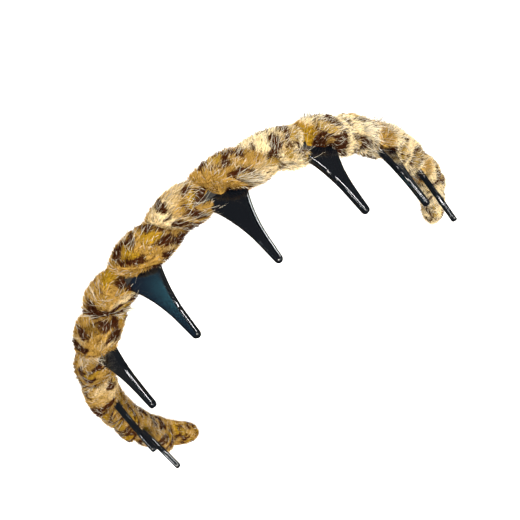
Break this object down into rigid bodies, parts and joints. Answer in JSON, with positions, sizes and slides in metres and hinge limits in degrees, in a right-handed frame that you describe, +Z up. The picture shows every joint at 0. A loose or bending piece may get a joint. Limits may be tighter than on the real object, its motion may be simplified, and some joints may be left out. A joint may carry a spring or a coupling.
{
  "type": "comb headband",
  "caption": "Springy moulded hoop with long comb teeth along one edge, wound with a leopard-print plush ribbon; worn over the crown to hold hair back.",
  "frame": {"origin": "underside of the wrap at the crown, in the hoop's middle plane, where the headband sits on the head", "axes": "+Z up, +X to the wearer's right hand side with the wearer facing +Y, -Y the way the comb teeth point (back of the head)"},
  "size_m": [0.1612, 0.0328, 0.1224],
  "materials": {
    "black_moulding": "polished black injection moulding",
    "mounting_tape": "black tissue tape with adhesive on both faces",
    "leopard_plush": "short-pile faux fur, tan ground with dark brown rosettes"
  },
  "bodies": {
    "root": {"toothed_hoop": "black_moulding", "mounting_tape": "mounting_tape", "plush_wrap": "leopard_plush", "left_end_cap": "leopard_plush", "right_end_cap": "leopard_plush"}
  },
  "joints": []
}
